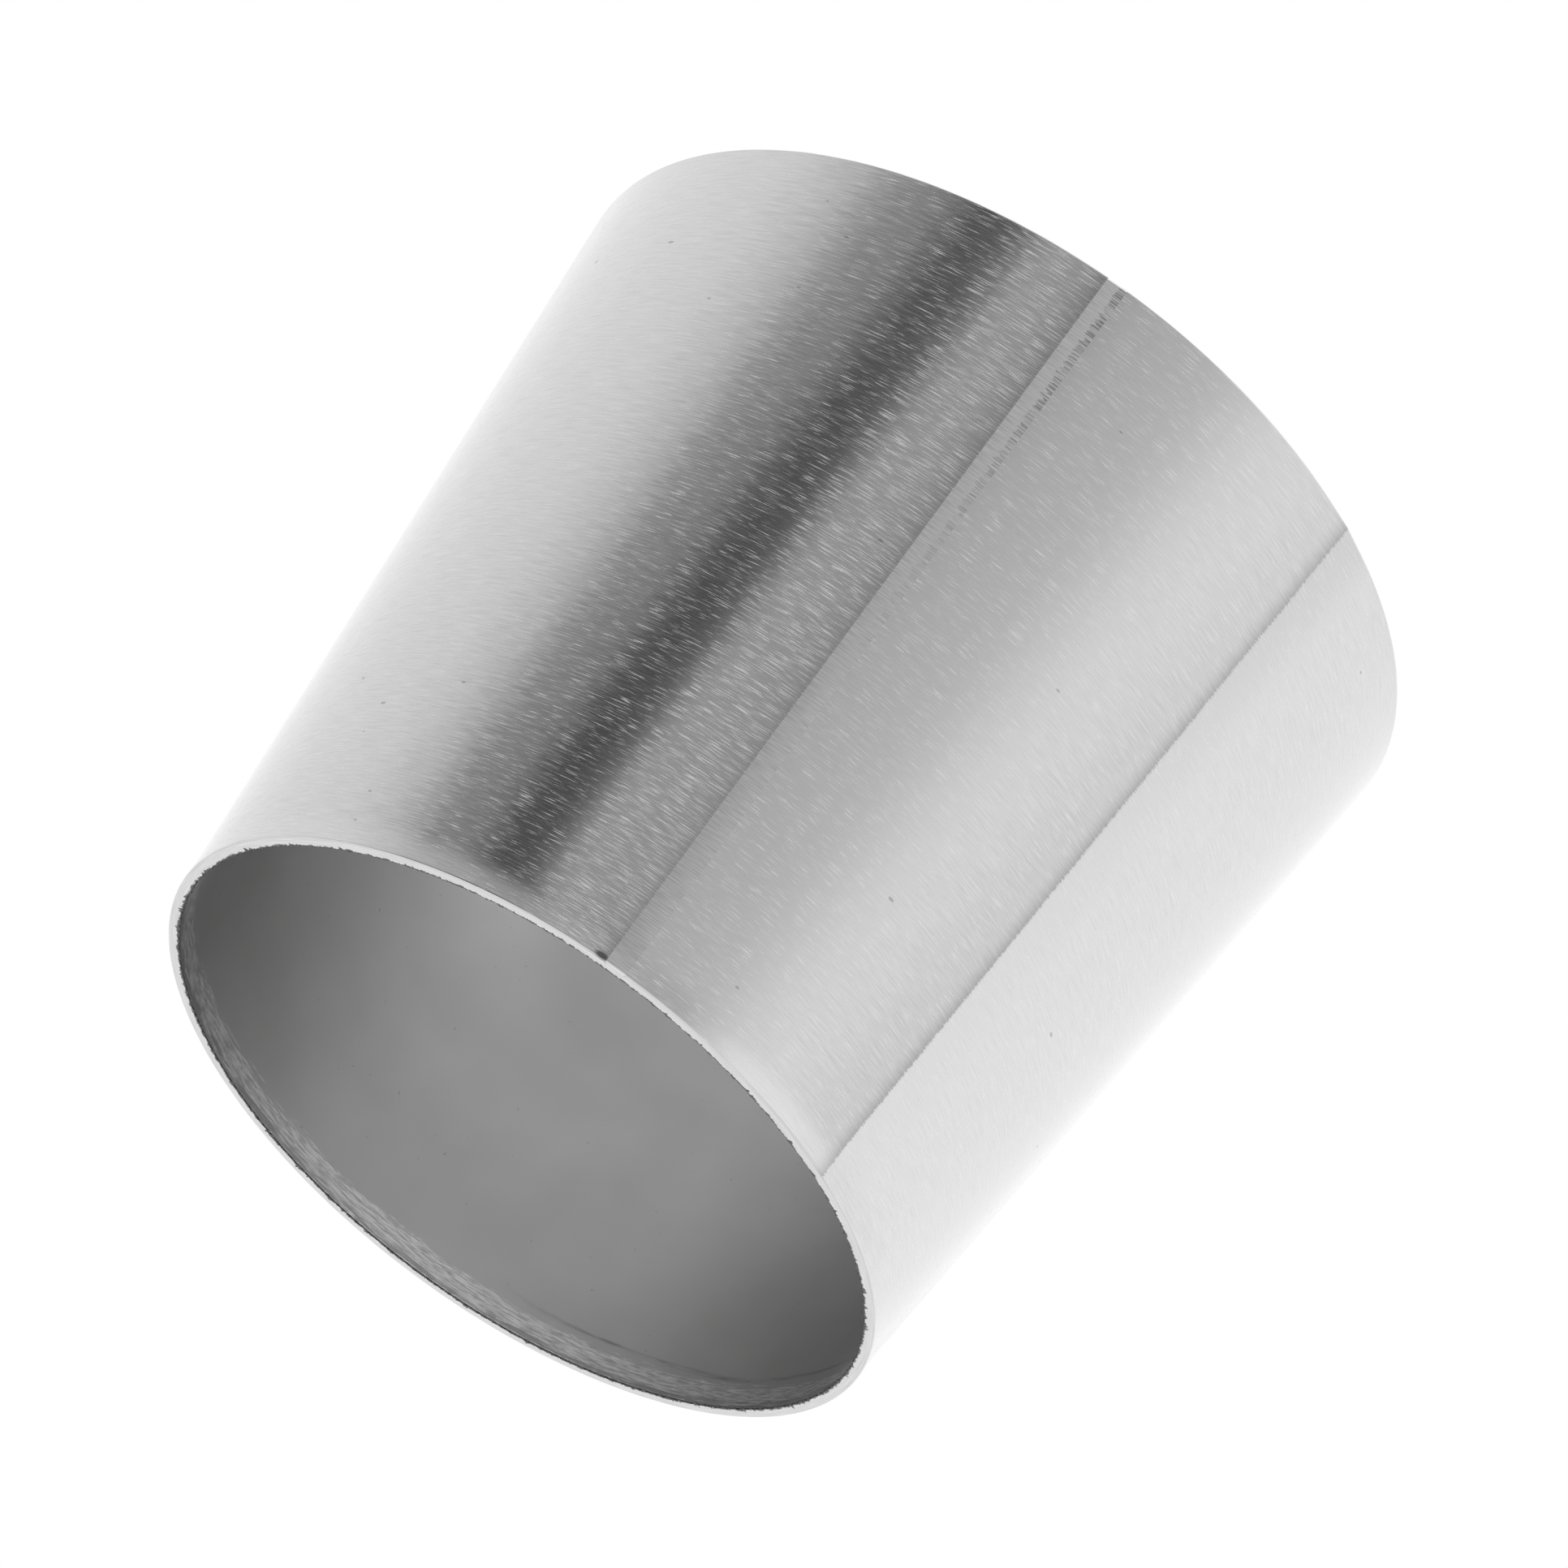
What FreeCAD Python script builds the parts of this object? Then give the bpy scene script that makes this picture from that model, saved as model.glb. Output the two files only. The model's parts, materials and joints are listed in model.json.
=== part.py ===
import FreeCAD, Part
import math
import os

# Eccentric reducer for thin-walled stainless tube: one formed sheet shell, closed by one
# lengthwise weld. The shell is an oblique cone with a flat side, so the bottom of the pipe run
# stays level and drains.
#
# Frame: the origin is the centre of the large end's face, +Z runs along the flow towards the
# small end, and the flat side faces -X. The weld runs up the steepest side, at +X.

# Driving dimensions, in millimetres
LARGE_OUTSIDE_DIAMETER = 76.0
SMALL_OUTSIDE_DIAMETER = 64.0
LENGTH = 66.0
WALL = 1.0
SMALL_END_LAND = 2.0

WELD_FACE_WIDTH = 1.8
WELD_ROOT_WIDTH = 1.2
WELD_CROWN_WIDTH = 0.6
WELD_ROOT_HEIGHT = 0.2

# Sizes that follow from them
LARGE_RADIUS = LARGE_OUTSIDE_DIAMETER / 2
SMALL_RADIUS = SMALL_OUTSIDE_DIAMETER / 2
ECCENTRICITY = LARGE_RADIUS - SMALL_RADIUS
CONE_HEIGHT = LENGTH - SMALL_END_LAND

# How far a cutting body runs past the face that it cuts
OVERRUN = 2.0


def circle(radius, x, z):
    """A level circle of this radius, centred on y = 0."""
    return Part.Wire([Part.makeCircle(radius, FreeCAD.Vector(x, 0, z))])


def oblique_cone(inset, low_z, high_z):
    """The reducer's form as a solid, this far inside its outer skin, with straight lands past
    the cone at low_z < 0 and high_z > CONE_HEIGHT."""
    large = LARGE_RADIUS - inset
    small = SMALL_RADIUS - inset
    solid = Part.makeLoft([circle(large, 0, 0), circle(small, -ECCENTRICITY, CONE_HEIGHT)], True, True)
    land = Part.makeCylinder(small, high_z - CONE_HEIGHT, FreeCAD.Vector(-ECCENTRICITY, 0, CONE_HEIGHT))
    solid = solid.fuse(land)
    if low_z < 0:
        solid = solid.fuse(Part.makeCylinder(large, -low_z, FreeCAD.Vector(0, 0, low_z)))
    return solid


def formed_wall():
    """The whole wall, all the way round, before the seam is parted."""
    outside = oblique_cone(0, 0, LENGTH)
    inside = oblique_cone(WALL, -OVERRUN, LENGTH + OVERRUN)
    return outside.cut(inside)


def weld_section(inner_x, z):
    """The fused zone across the seam: wide on the outer face, narrow at the root, with a low
    flat-topped crown that stands inside the bore."""
    face_x = inner_x + WALL + OVERRUN
    spread = (WELD_FACE_WIDTH - WELD_ROOT_WIDTH) / WALL
    face_half = (WELD_ROOT_WIDTH + spread * (WALL + OVERRUN)) / 2
    half = [
        (inner_x - WELD_ROOT_HEIGHT, WELD_CROWN_WIDTH / 2),
        (inner_x, WELD_ROOT_WIDTH / 2),
        (face_x, face_half),
    ]
    outline = [FreeCAD.Vector(x, y, z) for x, y in half]
    outline += [FreeCAD.Vector(x, -y, z) for x, y in reversed(half)]
    return Part.makePolygon(outline + outline[:1])


def seam_zone():
    """The fused zone's section carried up the steepest side, past the outer skin."""
    large_x = LARGE_RADIUS - WALL
    small_x = -ECCENTRICITY + SMALL_RADIUS - WALL
    cone = Part.makeLoft([weld_section(large_x, 0), weld_section(small_x, CONE_HEIGHT)], True, True)
    land = Part.makeLoft([weld_section(small_x, CONE_HEIGHT), weld_section(small_x, LENGTH)], True, True)
    return cone.fuse(land)


def save(shape, name):
    """Write one node's STEP file, after checking that it is a single sound solid."""
    solid = shape.removeSplitter()
    if not solid.isValid() or len(solid.Solids) != 1:
        raise ValueError(f"{name} is not one sound solid")
    solid = solid.Solids[0]
    solid.exportStep(os.path.join("parts", name + ".step"))
    box = solid.optimalBoundingBox()
    print(f"{name}: {solid.Volume:.1f} mm3, x {box.XMin:.2f}..{box.XMax:.2f},"
          f" y {box.YMin:.2f}..{box.YMax:.2f}, z {box.ZMin:.2f}..{box.ZMax:.2f}")
    return solid


os.makedirs("parts", exist_ok=True)

zone = seam_zone()
reducer_shell = save(formed_wall().cut(zone), "reducer_shell")
seam_weld = save(zone.common(oblique_cone(0, 0, LENGTH)), "seam_weld")

slope = math.degrees(math.atan2(2 * ECCENTRICITY, CONE_HEIGHT))
shared = reducer_shell.common(seam_weld).Volume
print(f"eccentricity {ECCENTRICITY} mm, steepest side leans {slope:.2f} degrees, overlap {shared:.6f} mm3")
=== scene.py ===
import json
from math import cos, pi, radians, sin

import bpy
from mathutils import Matrix, Vector


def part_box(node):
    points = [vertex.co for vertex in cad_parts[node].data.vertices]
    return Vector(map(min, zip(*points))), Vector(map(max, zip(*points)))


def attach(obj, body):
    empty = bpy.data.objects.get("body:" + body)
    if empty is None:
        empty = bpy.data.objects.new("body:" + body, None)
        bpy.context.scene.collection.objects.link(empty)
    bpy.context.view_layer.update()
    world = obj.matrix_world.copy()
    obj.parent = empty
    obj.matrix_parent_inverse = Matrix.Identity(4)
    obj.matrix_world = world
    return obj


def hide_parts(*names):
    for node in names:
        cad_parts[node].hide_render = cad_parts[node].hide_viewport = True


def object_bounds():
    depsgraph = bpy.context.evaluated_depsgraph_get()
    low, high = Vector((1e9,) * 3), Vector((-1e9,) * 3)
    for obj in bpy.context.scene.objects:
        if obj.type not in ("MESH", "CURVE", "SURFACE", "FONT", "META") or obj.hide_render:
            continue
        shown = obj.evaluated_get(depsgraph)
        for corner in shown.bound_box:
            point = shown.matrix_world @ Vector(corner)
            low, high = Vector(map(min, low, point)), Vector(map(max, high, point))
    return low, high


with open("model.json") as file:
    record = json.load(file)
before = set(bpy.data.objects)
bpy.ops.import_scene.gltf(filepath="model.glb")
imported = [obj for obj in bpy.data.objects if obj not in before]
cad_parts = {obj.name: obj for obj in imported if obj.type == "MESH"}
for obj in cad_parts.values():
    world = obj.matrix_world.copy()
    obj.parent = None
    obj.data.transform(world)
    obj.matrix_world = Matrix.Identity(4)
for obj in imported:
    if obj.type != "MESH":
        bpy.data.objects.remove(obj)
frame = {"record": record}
cad_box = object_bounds()


# ---------------------------------------------------------------------------------------------
# The shell. A blank of 1 mm 304 stainless sheet, rolled and pressed to an oblique cone with a
# flat side, its ends sawn square, faced and roughly deburred. Abrasive belts brushed the outside
# round and round, while the inside keeps the dull skin that the sheet left the mill with.

MM = 0.001
record_mounts = {mount["name"]: mount for mount in frame["record"]["mounts"]}
small_land = record_mounts["small_end_outside"]["dims"]
low, high = cad_box
large_radius = (high.y - low.y) / 2
small_radius = small_land["r_mm"] * MM
length = high.z - low.z
cone_height = length - small_land["length_mm"] * MM
wall = small_radius - record_mounts["small_end_bore"]["dims"]["r_mm"] * MM

weld_face_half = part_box("seam_weld")[1].y
weld_root_half = weld_face_half * 2 / 3
weld_root_height = 0.2 * MM


def add(tree, kind, settings=None, inputs=None):
    """Add a node to a tree, with its settings, and its inputs as plain values or links."""
    node = tree.nodes.new(kind)
    for name, value in (settings or {}).items():
        setattr(node, name, value)
    for key, value in (inputs or {}).items():
        if isinstance(value, bpy.types.NodeSocket):
            tree.links.new(value, node.inputs[key])
        else:
            node.inputs[key].default_value = value
    return node


def new_geometry_tree(name, sockets, output):
    """An empty geometry tree with these named inputs and one output, and its two end nodes."""
    tree = bpy.data.node_groups.new(name, "GeometryNodeTree")
    for label, kind in sockets:
        tree.interface.new_socket(label, in_out="INPUT", socket_type=kind)
    tree.interface.new_socket(output[0], in_out="OUTPUT", socket_type=output[1])
    return tree, tree.nodes.new("NodeGroupInput").outputs, tree.nodes.new("NodeGroupOutput")


# Where a point of the wall lies: a level circle at every height, each one touching the flat side.
CONE_SIZES = [
    ("Large Radius", "NodeSocketFloat"),
    ("Small Radius", "NodeSocketFloat"),
    ("Cone Height", "NodeSocketFloat"),
]
FORMING_BEND = 0.2 * MM

# A faint ridge, left where two passes of the belt met, runs up the shell at this turn from the seam
LAP_TURN = radians(360 - 39.7)
LAP_HEIGHT = 0.08 * MM
LAP_REACH = 3.0 * MM

cone, given, result = new_geometry_tree(
    "oblique cone",
    [
        ("Turn", "NodeSocketFloat"),
        ("Sideways", "NodeSocketFloat"),
        ("Inset", "NodeSocketFloat"),
        ("Height", "NodeSocketFloat"),
    ] + CONE_SIZES,
    ("Position", "NodeSocketVector"),
)
line = add(cone, "ShaderNodeMapRange", {"clamp": False}, {
    "Value": given["Height"],
    "From Min": 0.0,
    "From Max": given["Cone Height"],
    "To Min": given["Large Radius"],
    "To Max": given["Small Radius"],
})
radius = add(cone, "ShaderNodeMath", {"operation": "SMOOTH_MAX"}, {
    0: line.outputs[0], 1: given["Small Radius"], 2: FORMING_BEND})
reach = add(cone, "ShaderNodeMath", {"operation": "SUBTRACT"}, {
    0: radius.outputs[0], 1: given["Inset"]})
across = add(cone, "ShaderNodeMath", {"operation": "DIVIDE"}, {
    0: given["Sideways"], 1: reach.outputs[0]})
lean = add(cone, "ShaderNodeMath", {"operation": "ARCSINE"}, {0: across.outputs[0]})
around = add(cone, "ShaderNodeMath", {"operation": "ADD"}, {
    0: given["Turn"], 1: lean.outputs[0]})
cosine = add(cone, "ShaderNodeMath", {"operation": "COSINE"}, {0: around.outputs[0]})
sine = add(cone, "ShaderNodeMath", {"operation": "SINE"}, {0: around.outputs[0]})
centre = add(cone, "ShaderNodeMath", {"operation": "SUBTRACT"}, {
    0: radius.outputs[0], 1: given["Large Radius"]})
place_x = add(cone, "ShaderNodeMath", {"operation": "MULTIPLY_ADD"}, {
    0: reach.outputs[0], 1: cosine.outputs[0], 2: centre.outputs[0]})
place_y = add(cone, "ShaderNodeMath", {"operation": "MULTIPLY"}, {
    0: reach.outputs[0], 1: sine.outputs[0]})
place = add(cone, "ShaderNodeCombineXYZ", {}, {
    "X": place_x.outputs[0], "Y": place_y.outputs[0], "Z": given["Height"]})
cone.links.new(place.outputs[0], result.inputs[0])


# The wall's section, as (inset from the outer skin, height): a long thin strip with eased edges.
# Its rows lie closer together where the cone bends into the straight land, and a close row on each
# side of a corner keeps the shading of the flats flat.
EDGE_EASE = 0.14 * MM
BURR_ROLL = 0.09 * MM
WALL_ROW = 5 * MM
BEND_REACH = 0.8 * MM
RIM_ROWS = 5


def arc(centre, size, start, end, steps):
    """Points of an arc, by its centre, radius and two angles in degrees."""
    turns = [radians(start + (end - start) * i / steps) for i in range(steps + 1)]
    return [(centre[0] + size * cos(turn), centre[1] + size * sin(turn)) for turn in turns]


def run(start, end, count):
    """The points that divide a straight run into this many lengths, without its two ends."""
    return [
        tuple(a + (b - a) * i / count for a, b in zip(start, end))
        for i in range(1, count)
    ]


rows_up = round(cone_height / WALL_ROW)
bend = [cone_height + BEND_REACH * step / 2 for step in range(-2, 3)]
KEEP = 0.05 * MM
strip = arc((EDGE_EASE, EDGE_EASE), EDGE_EASE, 180, 270, 4)
strip += run(strip[-1], (wall - EDGE_EASE, 0), 4)
strip += arc((wall - EDGE_EASE, EDGE_EASE), EDGE_EASE, 270, 360, 4)
strip += [(wall, EDGE_EASE + KEEP)]
strip += run(strip[-1], (wall, bend[0]), rows_up)
strip += [(wall, height) for height in bend]
strip += [(wall, length - BURR_ROLL - step * KEEP) for step in (6, 4, 2, 1)]
strip += arc((wall - BURR_ROLL, length - BURR_ROLL), BURR_ROLL, 0, 90, 5)
strip += [(wall - BURR_ROLL - KEEP, length)]
strip += run(strip[-1], (EDGE_EASE + KEEP, length), RIM_ROWS)
strip += [(EDGE_EASE + KEEP, length)]
strip += arc((EDGE_EASE, length - EDGE_EASE), EDGE_EASE, 90, 180, 5)
strip += [(0, length - EDGE_EASE - KEEP)]
strip += [(0, height) for height in reversed(bend)]
strip += run(strip[-1], (0, EDGE_EASE + KEEP), rows_up)
strip += [(0, EDGE_EASE + KEEP)]


def closed_outline(name, points):
    """A closed wire of these points, each one knowing how far round the outline it lies."""
    wire = bpy.data.meshes.new(name)
    count = len(points)
    edges = [(i, (i + 1) % count) for i in range(count)]
    wire.from_pydata([(a, b, 0) for a, b in points], edges, [])
    travelled = wire.attributes.new("run", "FLOAT", "POINT")
    distance = 0.0
    for i, point in enumerate(points):
        if i:
            distance += (Vector(point) - Vector(points[i - 1])).length
        travelled.data[i].value = distance
    piece = bpy.data.objects.new(name, wire)
    bpy.context.scene.collection.objects.link(piece)
    return piece


def make_solid(piece, tree, sizes):
    """Run a tree with these sizes on a piece and keep the result as its plain mesh."""
    modifier = piece.modifiers.new(tree.name, "NODES")
    modifier.node_group = tree
    for socket in tree.interface.items_tree:
        if socket.in_out == "INPUT" and socket.name in sizes:
            modifier[socket.identifier] = sizes[socket.name]
    graph = bpy.context.evaluated_depsgraph_get()
    made = bpy.data.meshes.new_from_object(piece.evaluated_get(graph))
    piece.modifiers.remove(modifier)
    piece.data = made


def sweep_straight(tree, section, count):
    """The section carried along one unit of X, with its points' flat place and their inset."""
    profile = add(tree, "GeometryNodeMeshToCurve", {}, {"Mesh": section})
    way = add(tree, "GeometryNodeCurvePrimitiveLine", {}, {"Start": (0, 0, 0), "End": (1, 0, 0)})
    steps = add(tree, "GeometryNodeResampleCurve", {}, {"Curve": way.outputs[0], "Count": count})
    swept = add(tree, "GeometryNodeCurveToMesh", {}, {
        "Curve": steps.outputs[0], "Profile Curve": profile.outputs[0], "Fill Caps": True})
    flat_place = add(tree, "GeometryNodeInputPosition")
    flat = add(tree, "ShaderNodeSeparateXYZ", {}, {0: flat_place.outputs[0]})
    inset = add(tree, "ShaderNodeMath", {"operation": "MULTIPLY"}, {0: flat.outputs["Y"], 1: -1.0})
    return swept, flat, inset


def linear(hex_colour):
    """A colour given as sRGB hex, as the linear values that a shader takes."""
    parts = [int(hex_colour[i:i + 2], 16) / 255 for i in (1, 3, 5)]
    return [c / 12.92 if c <= 0.04045 else ((c + 0.055) / 1.055) ** 2.4 for c in parts] + [1.0]


def new_material(name, finish):
    """A material with one shader that has these values, ready for links."""
    material = bpy.data.materials.new(name)
    material.use_nodes = True
    tree = material.node_tree
    tree.nodes.clear()
    shader = add(tree, "ShaderNodeBsdfPrincipled", {}, finish)
    add(tree, "ShaderNodeOutputMaterial", {}, {"Surface": shader.outputs[0]})
    return material, tree, shader


def streaks(tree, along, across, detail, rough, seed):
    """Noise drawn out into scratches: its length round the piece and its width, in metres."""
    spread = add(tree, "ShaderNodeUVMap", {"uv_map": "UVMap"})
    scaled = add(tree, "ShaderNodeMapping", {}, {
        "Vector": spread.outputs[0],
        "Location": (seed, seed, 0),
        "Scale": (1 / across, 1 / along, 1),
    })
    noise = add(tree, "ShaderNodeTexNoise", {"noise_dimensions": "2D"}, {
        "Vector": scaled.outputs[0], "Scale": 1.0, "Detail": detail, "Roughness": rough})
    return noise.outputs["Fac"]


# 304 stainless, satin brushed with a 180 grit belt: fine grooves that run round the cone, so the
# light is drawn out along the axis. Each groove's wall leans its own way round the curve, which
# frays the edges of the reflections, and stray deeper grooves catch more light. The belt was held
# at a slant, so all the walls lean a little more one way at the large end than at the small end.
# A harder pass beside the seam cut more of the deep grooves.
GROOVE_WIDTH = 0.10 * MM
GROOVE_LENGTH = 3.2 * MM
GROOVE_DEPTH = 0.004 * MM
HARD_PASS = 8.5 * MM
GROOVE_LEAN = 0.11
BELT_SLANT = 0.06


def lean_grooves(tree, grooves, amount):
    """The shading normal, leaned round the piece by a streak pattern, and the grain's tangent."""
    grain = add(tree, "ShaderNodeTangent", {"direction_type": "UV_MAP", "uv_map": "UVMap"})
    facing = add(tree, "ShaderNodeNewGeometry")
    round_way = add(tree, "ShaderNodeVectorMath", {"operation": "CROSS_PRODUCT"}, {
        0: facing.outputs["Normal"], 1: grain.outputs[0]})
    place = add(tree, "ShaderNodeTexCoord")
    place_axes = add(tree, "ShaderNodeSeparateXYZ", {}, {0: place.outputs["Object"]})
    slant = add(tree, "ShaderNodeMapRange", {}, {
        "Value": place_axes.outputs["Z"], "From Min": 0.0, "From Max": length,
        "To Min": 0.5 * (BELT_SLANT - amount), "To Max": -0.5 * (BELT_SLANT + amount)})
    offset = add(tree, "ShaderNodeMath", {"operation": "MULTIPLY_ADD"}, {
        0: grooves, 1: amount, 2: slant.outputs[0]})
    push = add(tree, "ShaderNodeVectorMath", {"operation": "SCALE"}, {
        0: round_way.outputs[0], "Scale": offset.outputs[0]})
    leaned = add(tree, "ShaderNodeVectorMath", {"operation": "ADD"}, {
        0: facing.outputs["Normal"], 1: push.outputs[0]})
    unit = add(tree, "ShaderNodeVectorMath", {"operation": "NORMALIZE"}, {0: leaned.outputs[0]})
    return unit.outputs[0], grain.outputs[0]


brushed, tree, shader = new_material("satin_brushed_304_stainless", {
    "Metallic": 1.0,
    "Anisotropic": 0.75,
})
fine = streaks(tree, GROOVE_LENGTH, GROOVE_WIDTH, 3.0, 0.6, 3.0)
placed = add(tree, "ShaderNodeUVMap", {"uv_map": "UVMap"})
sheet_axes = add(tree, "ShaderNodeSeparateXYZ", {}, {0: placed.outputs[0]})
stray = streaks(tree, 0.7 * GROOVE_LENGTH, 0.65 * GROOVE_WIDTH, 1.0, 0.5, 17.0)
hard_pass = add(tree, "ShaderNodeMapRange", {"interpolation_type": "SMOOTHSTEP"}, {
    "Value": sheet_axes.outputs["Y"],
    "From Min": 0.7 * HARD_PASS, "From Max": 1.2 * HARD_PASS, "To Min": 0.57, "To Max": 0.65})
over_hard = add(tree, "ShaderNodeMath", {"operation": "SUBTRACT"}, {
    0: stray, 1: hard_pass.outputs[0]})
stray_cuts = add(tree, "ShaderNodeMapRange", {}, {
    "Value": over_hard.outputs[0], "From Min": 0.0, "From Max": 0.12, "To Min": 0.0, "To Max": 1.0})
steel = add(tree, "ShaderNodeValToRGB", {}, {"Fac": fine})
steel.color_ramp.elements[0].position = 0.3
steel.color_ramp.elements[0].color = linear("#CACACA")
steel.color_ramp.elements[1].position = 0.7
steel.color_ramp.elements[1].color = linear("#D4D4D4")

# The stray deeper grooves carry a painted glint: their colour is mixed towards near white, and they
# are also duller than the rest.
GLINT = 0.6
glint_share = add(tree, "ShaderNodeMath", {"operation": "MULTIPLY"}, {
    0: stray_cuts.outputs[0], 1: GLINT})
glinting = add(tree, "ShaderNodeMix", {"data_type": "RGBA"}, {
    "Factor": glint_share.outputs[0], "A": steel.outputs[0], "B": linear("#F4F4F4")})

# Small nicks from handling, dark because their torn bottoms face every way.
NICK_SPACING = 2.6 * MM
nick_scale = add(tree, "ShaderNodeMapping", {}, {
    "Vector": placed.outputs[0], "Scale": (1 / NICK_SPACING, 0.4 / NICK_SPACING, 1)})
nick_cells = add(tree, "ShaderNodeTexVoronoi", {"voronoi_dimensions": "2D"}, {
    "Vector": nick_scale.outputs[0], "Scale": 1.0})
nick_pick = add(tree, "ShaderNodeSeparateColor", {}, {0: nick_cells.outputs["Color"]})
nick_size = add(tree, "ShaderNodeMapRange", {}, {
    "Value": nick_pick.outputs["Red"],
    "From Min": 0.93, "From Max": 1.0, "To Min": 0.0, "To Max": 0.05})
nicks = add(tree, "ShaderNodeMath", {"operation": "LESS_THAN"}, {
    0: nick_cells.outputs["Distance"], 1: nick_size.outputs[0]})
nick_shade = add(tree, "ShaderNodeMath", {"operation": "MULTIPLY"}, {0: nicks.outputs[0], 1: 0.35})
finished = add(tree, "ShaderNodeMix", {"data_type": "RGBA"}, {
    "Factor": nick_shade.outputs[0], "A": glinting.outputs["Result"], "B": linear("#404040")})

# Where one pass of the belt ends against the next, a lap line runs up the shell: its edge is
# toothed by the ends of the grooves. Past each line the colour is darkened as painted shade, which
# fades away from the line and stands in for the step in the reflections there. One lies along the
# dressed weld and one a ninth of the way round. Each is given as (how far round the outside from
# the seam, darkness of the painted shade, distance over which it fades).
TEETH_REACH = 0.7 * MM
PAINTED_LAP_SHADES = [
    (0.0, 0.36, 3.4 * MM),
    (LAP_TURN * large_radius, 0.34, 2.2 * MM),
]
teeth = streaks(tree, 1.6 * MM, 0.14 * MM, 2.0, 0.6, 83.0)
for lap_at, darkness, fade in PAINTED_LAP_SHADES:
    past_lap = add(tree, "ShaderNodeMath", {"operation": "SUBTRACT"}, {
        0: sheet_axes.outputs["Y"], 1: lap_at})
    toothed = add(tree, "ShaderNodeMath", {"operation": "MULTIPLY_ADD"}, {
        0: teeth, 1: TEETH_REACH, 2: past_lap.outputs[0]})
    lapped = add(tree, "ShaderNodeMapRange", {}, {
        "Value": toothed.outputs[0],
        "From Min": 0.4 * TEETH_REACH, "From Max": 0.6 * TEETH_REACH})
    lap_fade = add(tree, "ShaderNodeMapRange", {}, {
        "Value": past_lap.outputs[0], "From Min": 0.0, "From Max": fade,
        "To Min": 1.0, "To Max": 0.0})
    lap_curve = add(tree, "ShaderNodeMath", {"operation": "POWER"}, {
        0: lap_fade.outputs[0], 1: 2.4})
    painted_lap_depth = add(tree, "ShaderNodeMath", {"operation": "MULTIPLY"}, {
        0: lap_curve.outputs[0], 1: darkness})
    painted_lap_shade = add(tree, "ShaderNodeMath", {"operation": "MULTIPLY"}, {
        0: lapped.outputs[0], 1: painted_lap_depth.outputs[0]})
    # Painted shade: the colour is mixed towards near black past each lap line.
    finished = add(tree, "ShaderNodeMix", {"data_type": "RGBA"}, {
        "Factor": painted_lap_shade.outputs[0], "A": finished.outputs["Result"], "B": linear("#101010")})

# A short dark patch is painted on the skin beside the weld, where it meets the small rim.
DARK_PATCH_HEIGHT = 0.28 * MM
DARK_PATCH_WIDTH = 0.6 * MM
steep_edge = 2 * small_radius - large_radius
dark_patch_middle = (steep_edge, weld_face_half + 0.5 * MM, length - 0.3 * MM)
skin_place = add(tree, "ShaderNodeTexCoord")
from_dark_patch = add(tree, "ShaderNodeVectorMath", {"operation": "SUBTRACT"}, {
    0: skin_place.outputs["Object"], 1: dark_patch_middle})
dark_patch_steps = add(tree, "ShaderNodeVectorMath", {"operation": "MULTIPLY"}, {
    0: from_dark_patch.outputs[0], 1: (1 / small_radius, 1 / DARK_PATCH_WIDTH, 1 / DARK_PATCH_HEIGHT)})
dark_patch_gap = add(tree, "ShaderNodeVectorMath", {"operation": "LENGTH"}, {
    0: dark_patch_steps.outputs[0]})
dark_patch = add(tree, "ShaderNodeMapRange", {}, {
    "Value": dark_patch_gap.outputs["Value"],
    "From Min": 0.6, "From Max": 1.2, "To Min": 0.75, "To Max": 0.0})
darkened_skin = add(tree, "ShaderNodeMix", {"data_type": "RGBA"}, {
    "Factor": dark_patch.outputs[0], "A": finished.outputs["Result"], "B": linear("#303030")})
tree.links.new(darkened_skin.outputs["Result"], shader.inputs["Base Color"])

# A groove is duller the deeper it is cut, and its depth is also a slight relief.
shallow_cuts = add(tree, "ShaderNodeMapRange", {}, {
    "Value": fine, "From Min": 0.5, "From Max": 0.75, "To Min": 0.0, "To Max": 0.16})
cuts = add(tree, "ShaderNodeMath", {"operation": "MAXIMUM"}, {
    0: stray_cuts.outputs[0], 1: shallow_cuts.outputs[0]})
dulling = add(tree, "ShaderNodeMapRange", {}, {
    "Value": cuts.outputs[0], "To Min": 0.2, "To Max": 0.62})
tree.links.new(dulling.outputs[0], shader.inputs["Roughness"])
leaned, grain = lean_grooves(tree, fine, GROOVE_LEAN)
grooves = add(tree, "ShaderNodeBump", {}, {
    "Strength": 0.25, "Distance": GROOVE_DEPTH, "Height": fine, "Normal": leaned})
tree.links.new(grooves.outputs[0], shader.inputs["Normal"])
tree.links.new(grain, shader.inputs["Tangent"])

# 304 stainless with its 2B mill finish: an even, slightly cloudy grey that keeps faint roll marks,
# scored by the deburring tool in ragged streaks for the last few millimetres before the rim. The
# tool's heel rubbed a broken dark line a little deeper, on one side only.
LIP_NEAR = 0.45 * MM
LIP_FAR = 2.3 * MM
LIP_WANDER = 2.4 * MM
SCORE_DEPTH = 3.2 * MM
SCORE_SWAY = 3 * MM
mill, tree, shader = new_material("mill_finish_304_stainless", {
    "Metallic": 1.0,
    "Roughness": 0.38,
})
clouds = streaks(tree, 12 * MM, 9 * MM, 2.0, 0.5, 5.0)
specks = streaks(tree, 0.8 * MM, 0.6 * MM, 1.0, 0.5, 9.0)
tone = add(tree, "ShaderNodeValToRGB", {}, {"Fac": clouds})
tone.color_ramp.elements[0].position = 0.3
tone.color_ramp.elements[0].color = linear("#B8B8B8")
tone.color_ramp.elements[1].position = 0.7
tone.color_ramp.elements[1].color = linear("#BFBFBF")
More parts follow.
